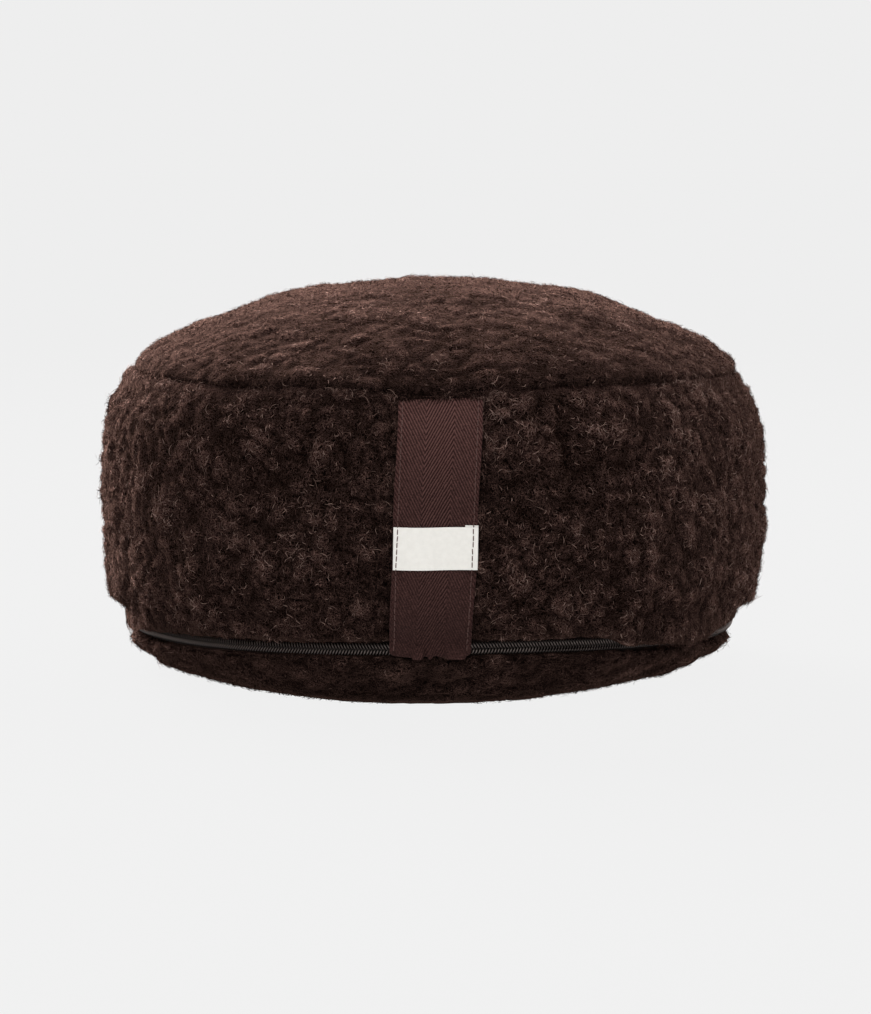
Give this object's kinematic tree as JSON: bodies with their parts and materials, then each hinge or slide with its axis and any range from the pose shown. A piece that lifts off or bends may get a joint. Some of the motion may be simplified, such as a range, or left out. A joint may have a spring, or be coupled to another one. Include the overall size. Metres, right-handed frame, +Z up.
{
  "type": "zafu meditation cushion",
  "caption": "Round floor cushion in dark brown pile cloth with a domed top, a bulging side band, a flat webbing strap with a blank label, and a zip round its lower seam.",
  "frame": {"origin": "on the floor under the middle of the cushion", "axes": "+Z up through the middle of the top panel, and the strap faces -Y"},
  "size_m": [0.328, 0.3297, 0.192],
  "materials": {
    "pile_cloth": "curly dark brown pile",
    "strap_tape": "herringbone twill tape",
    "label_cloth": "plain woven cotton",
    "zip_tape": "woven polyester tape",
    "zip_coil": "nylon coil"
  },
  "bodies": {
    "root": {"cushion": "pile_cloth", "strap": "strap_tape", "label": "label_cloth", "zip_tape_upper": "zip_tape", "zip_tape_lower": "zip_tape", "zip_coil_upper": "zip_coil", "zip_coil_lower": "zip_coil"}
  },
  "joints": []
}
